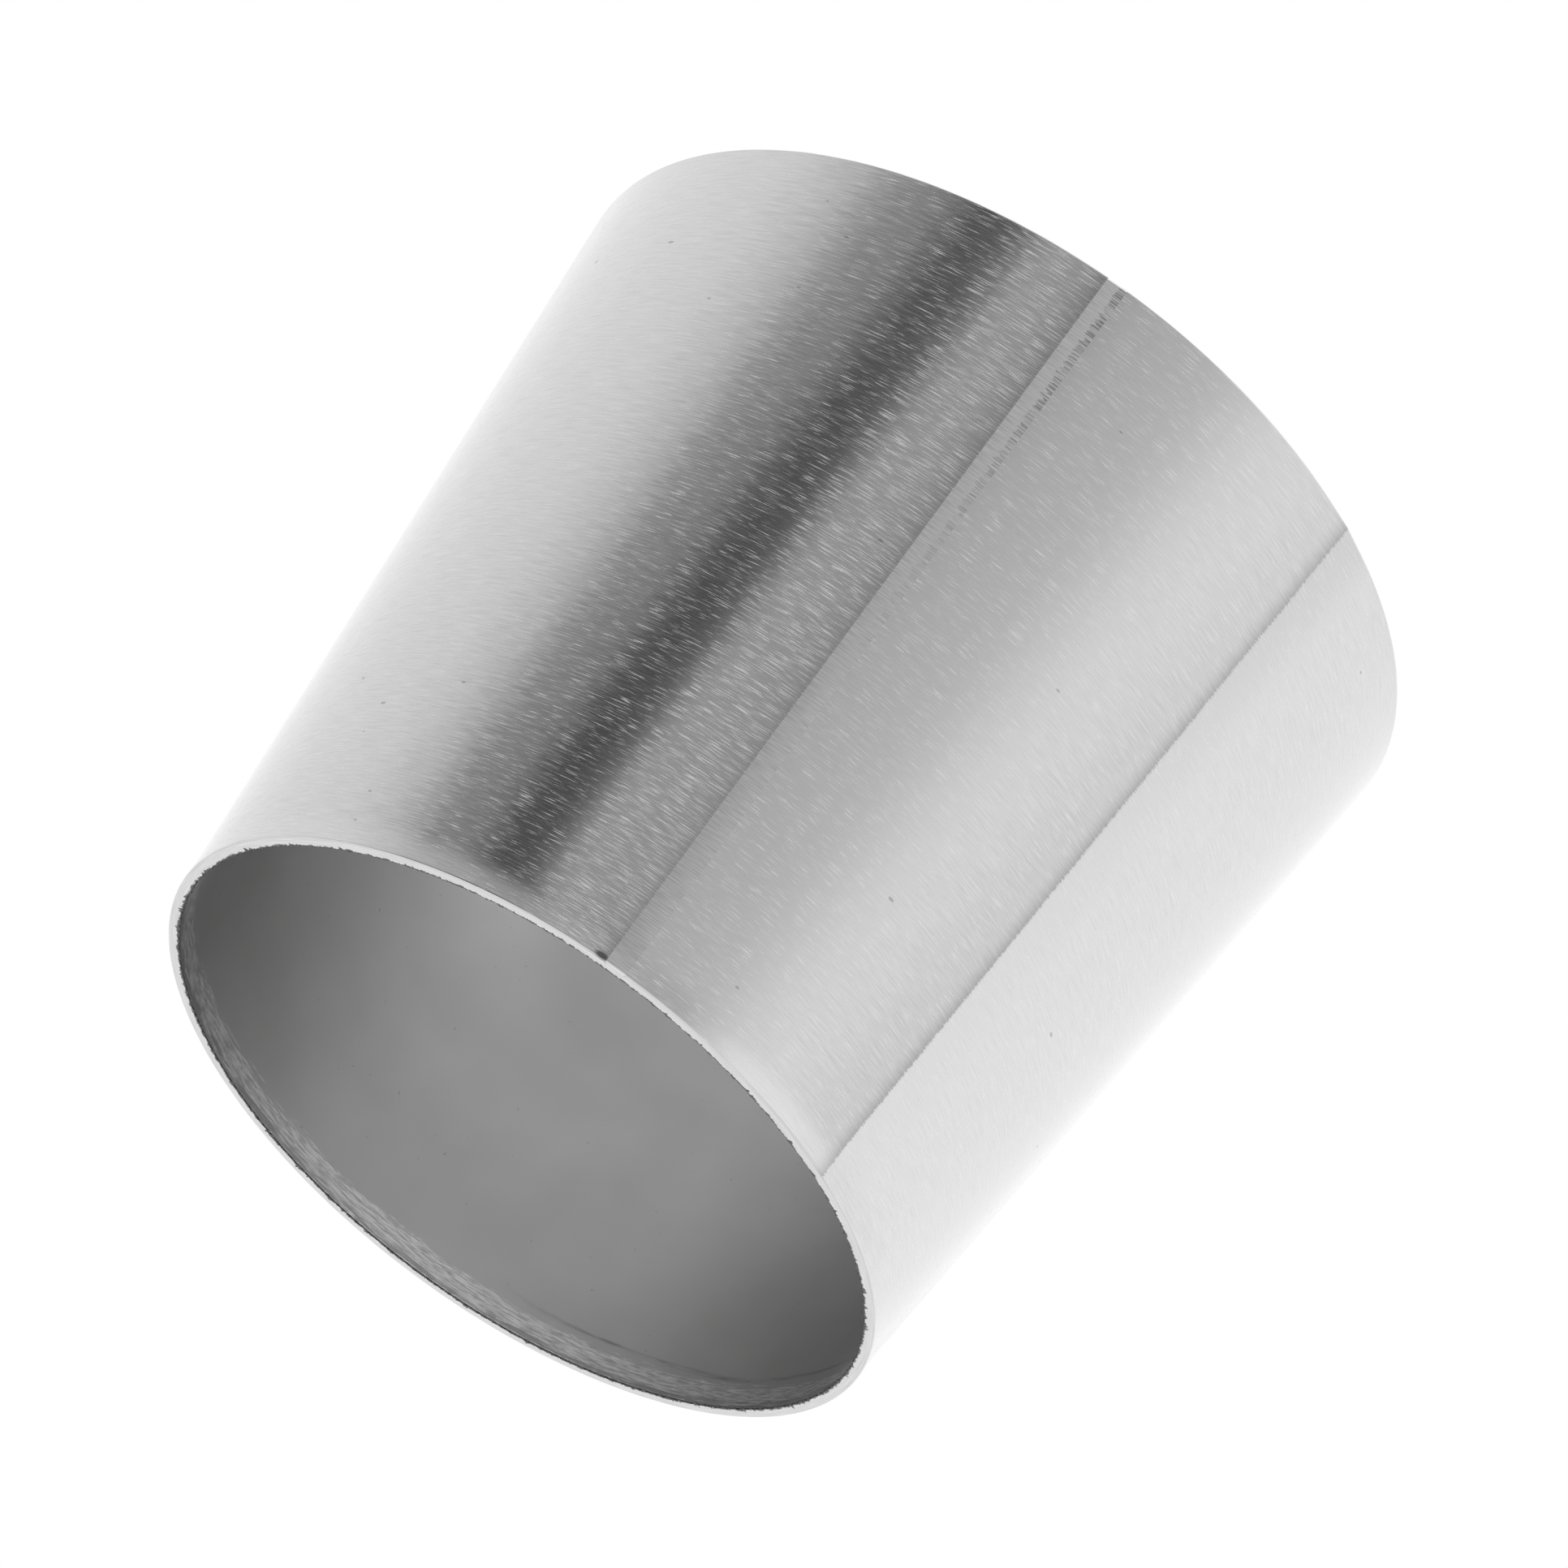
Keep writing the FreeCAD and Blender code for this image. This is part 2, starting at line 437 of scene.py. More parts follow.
pits = add(tree, "ShaderNodeMapRange", {}, {
    "Value": specks, "From Min": 0.80, "From Max": 0.88, "To Min": 0.0, "To Max": 0.3})
pitted = add(tree, "ShaderNodeMix", {"data_type": "RGBA"}, {
    "Factor": pits.outputs[0], "A": tone.outputs[0], "B": linear("#5A5A5A")})
object_place = add(tree, "ShaderNodeTexCoord")
place_axes = add(tree, "ShaderNodeSeparateXYZ", {}, {0: object_place.outputs["Object"]})
depth = add(tree, "ShaderNodeMath", {"operation": "SUBTRACT"}, {
    0: length, 1: place_axes.outputs["Z"]})
wander = streaks(tree, 7 * MM, 0.35 * MM, 4.0, 0.75, 23.0)
ragged = add(tree, "ShaderNodeMath", {"operation": "MULTIPLY_ADD"}, {
    0: wander, 1: LIP_WANDER, 2: depth.outputs[0]})
lip = add(tree, "ShaderNodeMapRange", {}, {
    "Value": ragged.outputs[0],
    "From Min": LIP_FAR + 1.2 * MM, "From Max": LIP_FAR + 1.0 * MM, "To Min": 0.0, "To Max": 1.0})
scores = streaks(tree, 2.2 * MM, 0.18 * MM, 3.0, 0.7, 31.0)
scored_tone = add(tree, "ShaderNodeValToRGB", {}, {"Fac": scores})
scored_tone.color_ramp.elements[0].position = 0.36
scored_tone.color_ramp.elements[0].color = linear("#B4B4B4")
scored_tone.color_ramp.elements[1].position = 0.62
scored_tone.color_ramp.elements[1].color = linear("#E6E6E6")
next_to_rim = add(tree, "ShaderNodeMapRange", {}, {
    "Value": ragged.outputs[0],
    "From Min": LIP_NEAR + 1.1 * MM, "From Max": LIP_NEAR + 1.4 * MM, "To Min": 1.0, "To Max": 0.0})
shaded_lip = add(tree, "ShaderNodeMix", {"data_type": "RGBA"}, {
    "Factor": next_to_rim.outputs[0], "A": scored_tone.outputs[0], "B": linear("#A6A6A6")})
lip_tone = add(tree, "ShaderNodeMix", {"data_type": "RGBA"}, {
    "Factor": lip.outputs[0], "A": pitted.outputs["Result"], "B": shaded_lip.outputs["Result"]})
sway = streaks(tree, 40 * MM, 8 * MM, 2.0, 0.5, 41.0)
swayed = add(tree, "ShaderNodeMath", {"operation": "MULTIPLY_ADD"}, {
    0: sway, 1: SCORE_SWAY, 2: depth.outputs[0]})
off_score = add(tree, "ShaderNodeMath", {"operation": "SUBTRACT"}, {
    0: swayed.outputs[0], 1: SCORE_DEPTH + 0.5 * SCORE_SWAY})
score_gap = add(tree, "ShaderNodeMath", {"operation": "ABSOLUTE"}, {0: off_score.outputs[0]})
score_line = add(tree, "ShaderNodeMapRange", {}, {
    "Value": score_gap.outputs[0], "From Min": 0.05 * MM, "From Max": 0.3 * MM,
    "To Min": 1.0, "To Max": 0.0})
score_here = add(tree, "ShaderNodeMapRange", {"interpolation_type": "SMOOTHSTEP"}, {
    "Value": place_axes.outputs["Y"],
    "From Min": -0.1 * small_radius, "From Max": -0.5 * small_radius, "To Min": 0.0, "To Max": 0.5})
breaks = streaks(tree, 5 * MM, 0.3 * MM, 3.0, 0.7, 43.0)
score_kept = add(tree, "ShaderNodeMapRange", {}, {
    "Value": breaks, "From Min": 0.38, "From Max": 0.62, "To Min": 0.1, "To Max": 1.0})
score_dark = add(tree, "ShaderNodeMath", {"operation": "MULTIPLY"}, {
    0: score_here.outputs[0], 1: score_kept.outputs[0]})
score_shade = add(tree, "ShaderNodeMath", {"operation": "MULTIPLY"}, {
    0: score_line.outputs[0], 1: score_dark.outputs[0]})
scored_skin = add(tree, "ShaderNodeMix", {"data_type": "RGBA"}, {
    "Factor": score_shade.outputs[0], "A": lip_tone.outputs["Result"], "B": linear("#505050")})
tree.links.new(scored_skin.outputs["Result"], shader.inputs["Base Color"])
scored = add(tree, "ShaderNodeBump", {}, {
    "Strength": lip.outputs[0], "Distance": 0.012 * MM, "Height": scores})
tree.links.new(scored.outputs[0], shader.inputs["Normal"])

# Sawn and faced edge of the sheet: bright, with fine cutter marks that follow the rim. Torn metal
# and painted shade, the shadow of the burr, darken the side next to the bore in a ragged line, and
# a hairline marks the outer corner.
RAGGED_LINE = 0.10 * MM
HAIRLINE = 0.05 * MM
faced, tree, shader = new_material("faced_edge_304_stainless", {
    "Metallic": 1.0,
    "Roughness": 0.36,
})
marks = streaks(tree, 5 * MM, 0.05 * MM, 2.0, 0.6, 47.0)
tone = add(tree, "ShaderNodeValToRGB", {}, {"Fac": marks})
tone.color_ramp.elements[0].position = 0.3
tone.color_ramp.elements[0].color = linear("#C4C4C4")
tone.color_ramp.elements[1].position = 0.7
tone.color_ramp.elements[1].color = linear("#DCDCDC")
object_place = add(tree, "ShaderNodeTexCoord")
place_axes = add(tree, "ShaderNodeSeparateXYZ", {}, {0: object_place.outputs["Object"]})
off_centre = add(tree, "ShaderNodeMath", {"operation": "ADD"}, {
    0: place_axes.outputs["X"], 1: large_radius - small_radius})
flat_place = add(tree, "ShaderNodeCombineXYZ", {}, {
    "X": off_centre.outputs[0], "Y": place_axes.outputs["Y"]})
reach_out = add(tree, "ShaderNodeVectorMath", {"operation": "LENGTH"}, {0: flat_place.outputs[0]})
from_bore = add(tree, "ShaderNodeMath", {"operation": "SUBTRACT"}, {
    0: reach_out.outputs["Value"], 1: small_radius - wall})
tears = streaks(tree, 0.9 * MM, 4 * MM, 5.0, 0.85, 29.0)
torn_reach = add(tree, "ShaderNodeMapRange", {"clamp": False}, {
    "Value": tears, "From Min": 0.4, "From Max": 0.68,
    "To Min": RAGGED_LINE, "To Max": 3.4 * RAGGED_LINE})
flakes = streaks(tree, 1.3 * MM, 4 * MM, 3.0, 0.8, 37.0)
flake_reach = add(tree, "ShaderNodeMapRange", {}, {
    "Value": flakes, "From Min": 0.58, "From Max": 0.7, "To Min": 0.0, "To Max": 2.2 * RAGGED_LINE})
torn_and_flaked = add(tree, "ShaderNodeMath", {"operation": "ADD"}, {
    0: torn_reach.outputs[0], 1: flake_reach.outputs[0]})
within_tear = add(tree, "ShaderNodeMath", {"operation": "SUBTRACT"}, {
    0: torn_and_flaked.outputs[0], 1: from_bore.outputs[0]})
torn_edge_and_shade = add(tree, "ShaderNodeMapRange", {}, {
    "Value": within_tear.outputs[0], "From Min": 0.0, "From Max": 0.04 * MM,
    "To Min": 0.0, "To Max": 0.9})
from_skin = add(tree, "ShaderNodeMath", {"operation": "SUBTRACT"}, {
    0: small_radius, 1: reach_out.outputs["Value"]})
hairline = add(tree, "ShaderNodeMapRange", {}, {
    "Value": from_skin.outputs[0], "From Min": 1.6 * HAIRLINE, "From Max": 2.6 * HAIRLINE,
    "To Min": 0.4, "To Max": 0.0})
corner_shade = add(tree, "ShaderNodeMath", {"operation": "MAXIMUM"}, {
    0: torn_edge_and_shade.outputs[0], 1: hairline.outputs[0]})
# Painted shade: the burr's shadow by the bore is mixed towards near black, along with the torn
# metal.
edge_tone = add(tree, "ShaderNodeMix", {"data_type": "RGBA"}, {
    "Factor": corner_shade.outputs[0], "A": tone.outputs[0], "B": linear("#2C2C2C")})
tree.links.new(edge_tone.outputs["Result"], shader.inputs["Base Color"])
ridges = add(tree, "ShaderNodeBump", {}, {
    "Strength": 0.25, "Distance": 0.004 * MM, "Height": marks})
tree.links.new(ridges.outputs[0], shader.inputs["Normal"])

# The thin burr that the tool left turned into the bore: torn, rough metal, its colour darkened
# towards near black partly as painted shade for the crevice it overhangs.
burr_metal_and_shade, tree, shader = new_material("torn_burr_and_shade_304_stainless", {
    "Metallic": 1.0,
    "Roughness": 0.6,
})
torn = streaks(tree, 0.5 * MM, 0.2 * MM, 2.0, 0.6, 53.0)
tone = add(tree, "ShaderNodeValToRGB", {}, {"Fac": torn})
tone.color_ramp.elements[0].position = 0.4
tone.color_ramp.elements[0].color = linear("#2E2E2E")
tone.color_ramp.elements[1].position = 0.75
tone.color_ramp.elements[1].color = linear("#7A7A7A")
tree.links.new(tone.outputs[0], shader.inputs["Base Color"])


# The strip is carried round from one side of the seam to the other and laid on the cone.
COLUMNS = 1320
BURR_REACH = 0.16 * MM
BURR_GRAIN = 0.7 * MM
TOUCH = 0.01 * MM

shell_tree, given, result = new_geometry_tree(
    "formed shell",
    [
        ("Geometry", "NodeSocketGeometry"),
        ("Columns", "NodeSocketInt"),
        ("Wall", "NodeSocketFloat"),
        ("Length", "NodeSocketFloat"),
        ("Seam Face Half", "NodeSocketFloat"),
        ("Seam Root Half", "NodeSocketFloat"),
        ("Burr Reach", "NodeSocketFloat"),
        ("Lap Turn", "NodeSocketFloat"),
        ("Lap Height", "NodeSocketFloat"),
        ("Lap Reach", "NodeSocketFloat"),
    ] + CONE_SIZES,
    ("Geometry", "NodeSocketGeometry"),
)
swept, flat, inset = sweep_straight(shell_tree, given["Geometry"], given["Columns"])
level = add(shell_tree, "ShaderNodeMath", {"operation": "MULTIPLY"}, {
    0: flat.outputs["Z"], 1: -1.0})
turn = add(shell_tree, "ShaderNodeMath", {"operation": "MULTIPLY"}, {
    0: flat.outputs["X"], 1: 2 * pi})
half = add(shell_tree, "ShaderNodeMapRange", {"clamp": False}, {
    "Value": inset.outputs[0],
    "From Min": 0.0,
    "From Max": given["Wall"],
    "To Min": given["Seam Face Half"],
    "To Max": given["Seam Root Half"],
})
side = add(shell_tree, "ShaderNodeMapRange", {"clamp": False}, {
    "Value": flat.outputs["X"], "To Min": 1.0, "To Max": -1.0})
sideways = add(shell_tree, "ShaderNodeMath", {"operation": "MULTIPLY"}, {
    0: half.outputs[0], 1: side.outputs[0]})

# The burr stands out from the inner corner of the small end, more here and less there.
from_bore = add(shell_tree, "ShaderNodeMath", {"operation": "SUBTRACT"}, {
    0: inset.outputs[0], 1: given["Wall"]})
from_rim = add(shell_tree, "ShaderNodeMath", {"operation": "SUBTRACT"}, {
    0: level.outputs[0], 1: given["Length"]})
from_corner = add(shell_tree, "ShaderNodeCombineXYZ", {}, {
    "X": from_bore.outputs[0], "Y": from_rim.outputs[0]})
gap = add(shell_tree, "ShaderNodeVectorMath", {"operation": "LENGTH"}, {
    0: from_corner.outputs[0]})
near = add(shell_tree, "ShaderNodeMapRange", {"interpolation_type": "SMOOTHSTEP"}, {
    "Value": gap.outputs["Value"],
    "From Min": 0.3 * BURR_ROLL, "From Max": 2.0 * BURR_ROLL, "To Min": 1.0, "To Max": 0.0})
arc_length = add(shell_tree, "ShaderNodeMath", {"operation": "MULTIPLY"}, {
    0: turn.outputs[0], 1: given["Small Radius"]})
torn_noise = add(shell_tree, "ShaderNodeTexNoise", {"noise_dimensions": "1D"}, {
    "W": arc_length.outputs[0], "Scale": 1 / BURR_GRAIN, "Detail": 3.0, "Roughness": 0.7})
torn_part = add(shell_tree, "ShaderNodeMapRange", {}, {
    "Value": torn_noise.outputs["Fac"], "From Min": 0.42, "From Max": 0.75})
torn_amount = add(shell_tree, "ShaderNodeMath", {"operation": "MULTIPLY"}, {
    0: torn_part.outputs[0], 1: near.outputs[0]})
torn_inset = add(shell_tree, "ShaderNodeMath", {"operation": "MULTIPLY_ADD"}, {
    0: torn_amount.outputs[0], 1: given["Burr Reach"], 2: inset.outputs[0]})

# The lap line is a low ridge with a sharp crest, which fades out to both sides.
off_lap = add(shell_tree, "ShaderNodeMath", {"operation": "SUBTRACT"}, {
    0: turn.outputs[0], 1: given["Lap Turn"]})
lap_arc = add(shell_tree, "ShaderNodeMath", {"operation": "MULTIPLY"}, {
    0: off_lap.outputs[0], 1: given["Large Radius"]})
lap_gap = add(shell_tree, "ShaderNodeMath", {"operation": "ABSOLUTE"}, {0: lap_arc.outputs[0]})
lap_rise = add(shell_tree, "ShaderNodeMapRange", {}, {
    "Value": lap_gap.outputs[0],
    "From Min": 0.0, "From Max": given["Lap Reach"], "To Min": 1.0, "To Max": 0.0})
lap_crest = add(shell_tree, "ShaderNodeMath", {"operation": "MULTIPLY"}, {
    0: lap_rise.outputs[0], 1: lap_rise.outputs[0]})
lap_lift = add(shell_tree, "ShaderNodeMath", {"operation": "MULTIPLY"}, {
    0: lap_crest.outputs[0], 1: given["Lap Height"]})
ridged_inset = add(shell_tree, "ShaderNodeMath", {"operation": "SUBTRACT"}, {
    0: torn_inset.outputs[0], 1: lap_lift.outputs[0]})

laid = add(shell_tree, "GeometryNodeGroup", {"node_tree": cone}, {
    "Turn": turn.outputs[0],
    "Sideways": sideways.outputs[0],
    "Inset": ridged_inset.outputs[0],
    "Height": level.outputs[0],
    "Large Radius": given["Large Radius"],
    "Small Radius": given["Small Radius"],
    "Cone Height": given["Cone Height"],
})
travelled = add(shell_tree, "GeometryNodeInputNamedAttribute", {"data_type": "FLOAT"}, {
    "Name": "run"})
arc_place = add(shell_tree, "ShaderNodeMath", {"operation": "MULTIPLY"}, {
    0: turn.outputs[0], 1: given["Large Radius"]})
spread = add(shell_tree, "ShaderNodeCombineXYZ", {}, {
    "X": travelled.outputs["Attribute"], "Y": arc_place.outputs[0]})
charted = add(shell_tree, "GeometryNodeStoreNamedAttribute",
              {"data_type": "FLOAT2", "domain": "CORNER"},
              {"Geometry": swept.outputs[0], "Name": "UVMap", "Value": spread.outputs[0]})
in_bore = add(shell_tree, "ShaderNodeMath", {"operation": "GREATER_THAN"}, {
    0: from_bore.outputs[0], 1: -TOUCH})
on_rim = add(shell_tree, "ShaderNodeMath", {"operation": "GREATER_THAN"}, {
    0: from_rim.outputs[0], 1: -TOUCH})
on_base = add(shell_tree, "ShaderNodeMath", {"operation": "LESS_THAN"}, {
    0: level.outputs[0], 1: TOUCH})
on_edge = add(shell_tree, "ShaderNodeMath", {"operation": "ADD"}, {
    0: on_rim.outputs[0], 1: on_base.outputs[0]})
facing = add(shell_tree, "GeometryNodeInputNormal")
facing_axes = add(shell_tree, "ShaderNodeSeparateXYZ", {}, {0: facing.outputs[0]})
facing_seam = add(shell_tree, "ShaderNodeMath", {"operation": "ABSOLUTE"}, {
    0: facing_axes.outputs["X"]})
away = add(shell_tree, "ShaderNodeMath", {"operation": "LESS_THAN"}, {
    0: facing_seam.outputs[0], 1: 0.5})
marked = add(shell_tree, "GeometryNodeStoreNamedAttribute",
             {"data_type": "BOOLEAN", "domain": "FACE"},
             {"Geometry": charted.outputs[0], "Name": "off the seam", "Value": away.outputs[0]})
not_seam = add(shell_tree, "GeometryNodeInputNamedAttribute", {"data_type": "BOOLEAN"}, {
    "Name": "off the seam"})
by_corner = add(shell_tree, "ShaderNodeMath", {"operation": "LESS_THAN"}, {
    0: gap.outputs["Value"], 1: 1.1 * BURR_ROLL})
outside = add(shell_tree, "GeometryNodeSetMaterial", {}, {
    "Geometry": marked.outputs[0], "Material": brushed})
inside = add(shell_tree, "GeometryNodeSetMaterial", {}, {
    "Geometry": outside.outputs[0], "Selection": in_bore.outputs[0], "Material": mill})
edges = add(shell_tree, "GeometryNodeSetMaterial", {}, {
    "Geometry": inside.outputs[0], "Selection": on_edge.outputs[0], "Material": faced})
corners = add(shell_tree, "GeometryNodeSetMaterial", {}, {
    "Geometry": edges.outputs[0], "Selection": by_corner.outputs[0], "Material": burr_metal_and_shade})
moved = add(shell_tree, "GeometryNodeSetPosition", {}, {
    "Geometry": corners.outputs[0], "Position": laid.outputs[0]})
plain = add(shell_tree, "GeometryNodeRealizeInstances", {}, {"Geometry": moved.outputs[0]})
smooth = add(shell_tree, "GeometryNodeSetShadeSmooth", {}, {
    "Geometry": plain.outputs[0], "Shade Smooth": not_seam.outputs[0]})
shell_tree.links.new(smooth.outputs[0], result.inputs[0])

cone_sizes = {
    "Large Radius": large_radius,
    "Small Radius": small_radius,
    "Cone Height": cone_height,
}
shell = closed_outline("formed_shell", strip)
make_solid(shell, shell_tree, cone_sizes | {
    "Columns": COLUMNS,
    "Wall": wall,
    "Length": length,
    "Seam Face Half": weld_face_half,
    "Seam Root Half": weld_root_half,
    "Burr Reach": BURR_REACH,
    "Lap Turn": LAP_TURN,
    "Lap Height": LAP_HEIGHT,
    "Lap Reach": LAP_REACH,
})
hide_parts("reducer_shell")
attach(shell, "root")


# ---------------------------------------------------------------------------------------------
# The seam weld. One lengthwise TIG pass without much filler closes the sheet up its steepest
# side. Its face was ground flush and brushed with the shell, and its root stands a little proud
# inside, with the small ripples that the moving weld pool left.

RIPPLE_PITCH = 0.9 * MM
RIPPLE_DEPTH = 0.05 * MM
ROOT_CUT = 2.0 * MM
FACE_STEPS = 8
ROOT_STEPS = 8
STATIONS = 660

# The section, as (inset from the outer skin, sideways from the seam's middle)
fusion = [(0, weld_face_half - 2 * weld_face_half * i / FACE_STEPS) for i in range(FACE_STEPS + 1)]
fusion += run((0, -weld_face_half), (wall, -weld_root_half), 3)
for i in range(ROOT_STEPS + 1):
    sweep = pi * i / ROOT_STEPS
    fusion += [(wall + weld_root_height * sin(sweep), -weld_root_half * cos(sweep))]
fusion += run((wall, weld_root_half), (0, weld_face_half), 3)

# 304 weld metal dressed with a flap wheel: a finer, duller brushing than the shell's, with its
# grooves crossing the seam. The wheel chattered along one edge and left short dark teeth there,
# which die away towards the small end.
CHATTER_WIDTH = 0.62 * MM
CHATTER_LENGTH = 38 * MM
dressed, tree, shader = new_material("dressed_weld_304_stainless", {
    "Metallic": 1.0,
    "Roughness": 0.24,
    "Anisotropic": 0.7,
})
fine = streaks(tree, 3 * MM, 0.10 * MM, 3.0, 0.6, 61.0)
tone = add(tree, "ShaderNodeValToRGB", {}, {"Fac": fine})
tone.color_ramp.elements[0].position = 0.3
tone.color_ramp.elements[0].color = linear("#C6C6C6")
tone.color_ramp.elements[1].position = 0.7
tone.color_ramp.elements[1].color = linear("#E0E0E0")
placed = add(tree, "ShaderNodeUVMap", {"uv_map": "UVMap"})
weld_axes = add(tree, "ShaderNodeSeparateXYZ", {}, {0: placed.outputs[0]})
from_edge = add(tree, "ShaderNodeMath", {"operation": "ADD"}, {
    0: weld_axes.outputs["Y"], 1: weld_face_half})
strike_reach = streaks(tree, 2 * MM, 0.3 * MM, 2.0, 0.6, 67.0)
strike_end = add(tree, "ShaderNodeMath", {"operation": "MULTIPLY"}, {
    0: strike_reach, 1: 2 * CHATTER_WIDTH})
in_strike = add(tree, "ShaderNodeMath", {"operation": "LESS_THAN"}, {
    0: from_edge.outputs[0], 1: strike_end.outputs[0]})
strikes = streaks(tree, 5 * MM, 0.16 * MM, 1.0, 0.5, 73.0)
strike_marks = add(tree, "ShaderNodeMapRange", {}, {
    "Value": strikes, "From Min": 0.42, "From Max": 0.66, "To Min": 0.05, "To Max": 0.75})
dying = add(tree, "ShaderNodeMapRange", {}, {
    "Value": weld_axes.outputs["X"], "From Min": 0.0, "From Max": CHATTER_LENGTH,
    "To Min": 1.0, "To Max": 0.0})
strike_depth = add(tree, "ShaderNodeMath", {"operation": "MULTIPLY"}, {
    0: strike_marks.outputs[0], 1: dying.outputs[0]})
chatter = add(tree, "ShaderNodeMath", {"operation": "MULTIPLY"}, {
    0: in_strike.outputs[0], 1: strike_depth.outputs[0]})
struck = add(tree, "ShaderNodeMix", {"data_type": "RGBA"}, {
    "Factor": chatter.outputs[0], "A": tone.outputs[0], "B": linear("#484848")})
tree.links.new(struck.outputs["Result"], shader.inputs["Base Color"])
leaned, grain = lean_grooves(tree, fine, 0.7 * GROOVE_LEAN)
tree.links.new(leaned, shader.inputs["Normal"])
tree.links.new(grain, shader.inputs["Tangent"])

# The same metal as welded: a smooth frozen skin, dulled by a light grey oxide.
as_welded, tree, shader = new_material("as_welded_304_stainless", {
    "Metallic": 1.0,
    "Roughness": 0.34,
})
oxide = streaks(tree, 1.2 * MM, 4 * MM, 2.0, 0.5, 71.0)
tone = add(tree, "ShaderNodeValToRGB", {}, {"Fac": oxide})
tone.color_ramp.elements[0].position = 0.35
tone.color_ramp.elements[0].color = linear("#8E8E8E")
tone.color_ramp.elements[1].position = 0.7
tone.color_ramp.elements[1].color = linear("#C0C0C0")
tree.links.new(tone.outputs[0], shader.inputs["Base Color"])

weld_tree, given, result = new_geometry_tree(
    "seam weld",
    [
        ("Geometry", "NodeSocketGeometry"),
        ("Stations", "NodeSocketInt"),
        ("Wall", "NodeSocketFloat"),
        ("Length", "NodeSocketFloat"),
        ("Root Half", "NodeSocketFloat"),
        ("Edge Ease", "NodeSocketFloat"),
        ("Ripple Pitch", "NodeSocketFloat"),
        ("Ripple Depth", "NodeSocketFloat"),
    ] + CONE_SIZES,
    ("Geometry", "NodeSocketGeometry"),
)
swept, flat, inset = sweep_straight(weld_tree, given["Geometry"], given["Stations"])
sideways = add(weld_tree, "ShaderNodeMath", {"operation": "MULTIPLY"}, {
    0: flat.outputs["Z"], 1: -1.0})
level = add(weld_tree, "ShaderNodeMath", {"operation": "MULTIPLY"}, {
    0: flat.outputs["X"], 1: given["Length"]})

# Each ripple is a shallow crescent: its crest lags at the sides of the bead.
lag = add(weld_tree, "ShaderNodeMath", {"operation": "DIVIDE"}, {
    0: sideways.outputs[0], 1: given["Root Half"]})
lag_bow = add(weld_tree, "ShaderNodeMath", {"operation": "MULTIPLY"}, {
    0: lag.outputs[0], 1: lag.outputs[0]})
count = add(weld_tree, "ShaderNodeMath", {"operation": "DIVIDE"}, {
    0: level.outputs[0], 1: given["Ripple Pitch"]})
phase = add(weld_tree, "ShaderNodeMath", {"operation": "MULTIPLY_ADD"}, {
    0: lag_bow.outputs[0], 1: 0.5, 2: count.outputs[0]})
cycle = add(weld_tree, "ShaderNodeMath", {"operation": "FRACT"}, {0: phase.outputs[0]})
over_root = add(weld_tree, "ShaderNodeMath", {"operation": "SUBTRACT"}, {
    0: inset.outputs[0], 1: given["Wall"]})
proud = add(weld_tree, "ShaderNodeMapRange", {}, {
    "Value": over_root.outputs[0], "From Min": 0.0, "From Max": weld_root_height})
dip = add(weld_tree, "ShaderNodeMath", {"operation": "MULTIPLY"}, {
    0: cycle.outputs[0], 1: proud.outputs[0]})
dip_depth = add(weld_tree, "ShaderNodeMath", {"operation": "MULTIPLY"}, {
    0: dip.outputs[0], 1: given["Ripple Depth"]})
rippled = add(weld_tree, "ShaderNodeMath", {"operation": "SUBTRACT"}, {
    0: inset.outputs[0], 1: dip_depth.outputs[0]})

# The deburring tool took the root down flush for its last millimetre or two at the small end.
cut_start = add(weld_tree, "ShaderNodeMath", {"operation": "SUBTRACT"}, {
    0: given["Length"], 1: ROOT_CUT})
cut_back = add(weld_tree, "ShaderNodeMapRange", {"interpolation_type": "SMOOTHSTEP"}, {
    "Value": level.outputs[0], "From Min": cut_start.outputs[0], "From Max": given["Length"]})
proud_part = add(weld_tree, "ShaderNodeMath", {"operation": "SUBTRACT"}, {
    0: rippled.outputs[0], 1: given["Wall"]})
proud_only = add(weld_tree, "ShaderNodeMath", {"operation": "MAXIMUM"}, {
    0: proud_part.outputs[0], 1: 0.0})
taken_off = add(weld_tree, "ShaderNodeMath", {"operation": "MULTIPLY"}, {
    0: proud_only.outputs[0], 1: cut_back.outputs[0]})
dressed_inset = add(weld_tree, "ShaderNodeMath", {"operation": "SUBTRACT"}, {
    0: rippled.outputs[0], 1: taken_off.outputs[0]})

# Both ends of the weld's face are eased with the sheet's edge.
from_top = add(weld_tree, "ShaderNodeMath", {"operation": "SUBTRACT"}, {
    0: given["Length"], 1: level.outputs[0]})
from_end = add(weld_tree, "ShaderNodeMath", {"operation": "MINIMUM"}, {
    0: level.outputs[0], 1: from_top.outputs[0]})
eased = add(weld_tree, "ShaderNodeMath", {"operation": "SUBTRACT"}, {
    0: given["Edge Ease"], 1: from_end.outputs[0]})
eased_inset = add(weld_tree, "ShaderNodeMath", {"operation": "MAXIMUM"}, {
    0: dressed_inset.outputs[0], 1: eased.outputs[0]})
laid = add(weld_tree, "GeometryNodeGroup", {"node_tree": cone}, {
    "Turn": 0.0,
    "Sideways": sideways.outputs[0],
    "Inset": eased_inset.outputs[0],
    "Height": level.outputs[0],
    "Large Radius": given["Large Radius"],
    "Small Radius": given["Small Radius"],
    "Cone Height": given["Cone Height"],
})
spread = add(weld_tree, "ShaderNodeCombineXYZ", {}, {
    "X": level.outputs[0], "Y": sideways.outputs[0]})
